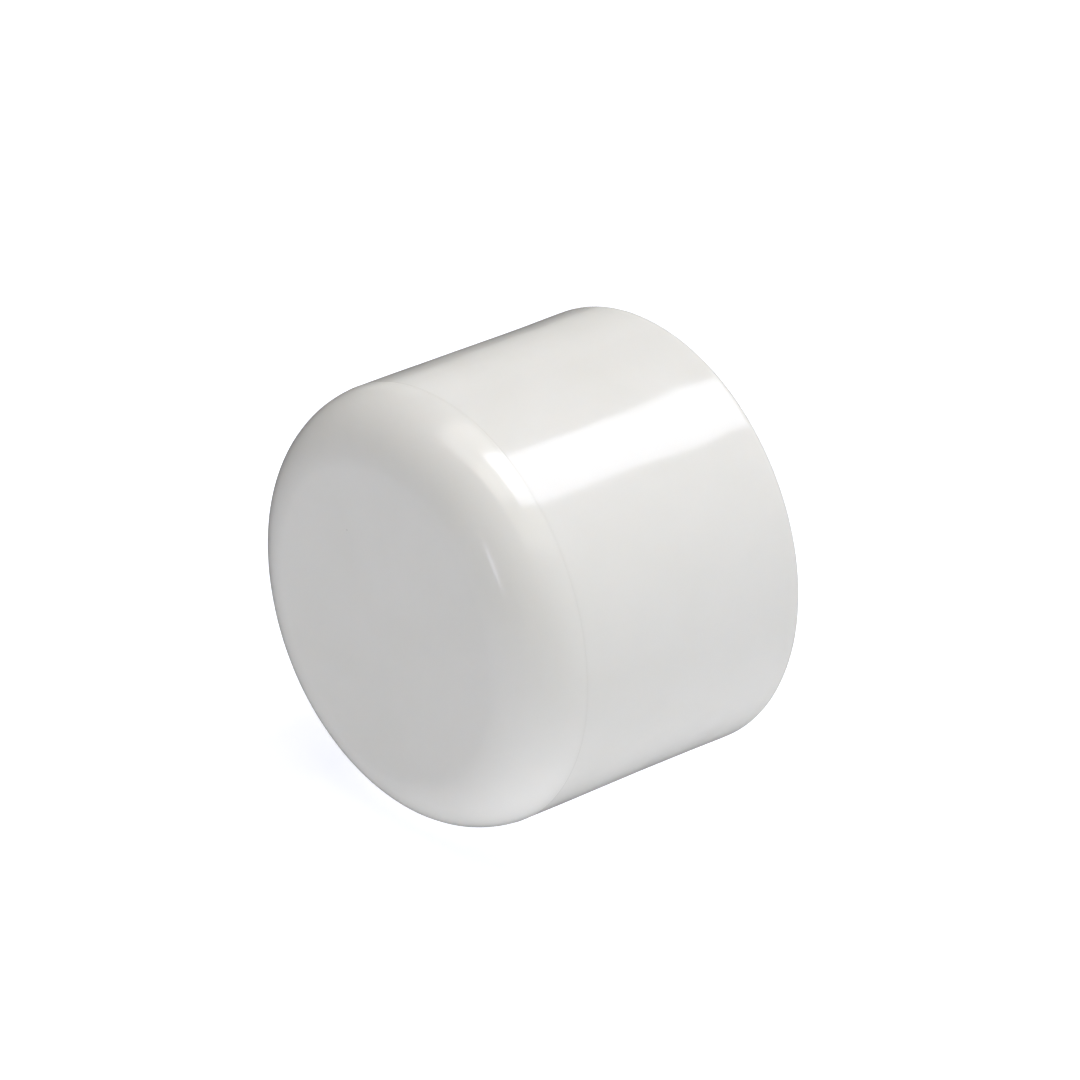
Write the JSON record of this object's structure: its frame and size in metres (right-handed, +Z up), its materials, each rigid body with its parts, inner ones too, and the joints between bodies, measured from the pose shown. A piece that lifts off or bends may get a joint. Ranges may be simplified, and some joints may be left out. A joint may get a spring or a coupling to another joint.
{
  "type": "pipe cap",
  "caption": "White slip cap that closes the end of a rigid plastic pipe, with a flat end, a large rounded corner and a plain round skirt over a tapered socket.",
  "frame": {"origin": "on the bore axis, in the plane of the ledge that the pipe's end stops against", "axes": "+Y along the bore axis, out of the mouth; -Y out of the closed end; +Z up as the cap lies on its side"},
  "size_m": [0.042, 0.0312, 0.042],
  "materials": {
    "white_pvc": "moulded, glossy outside"
  },
  "bodies": {
    "root": {"cap_body": "white_pvc"}
  },
  "joints": []
}
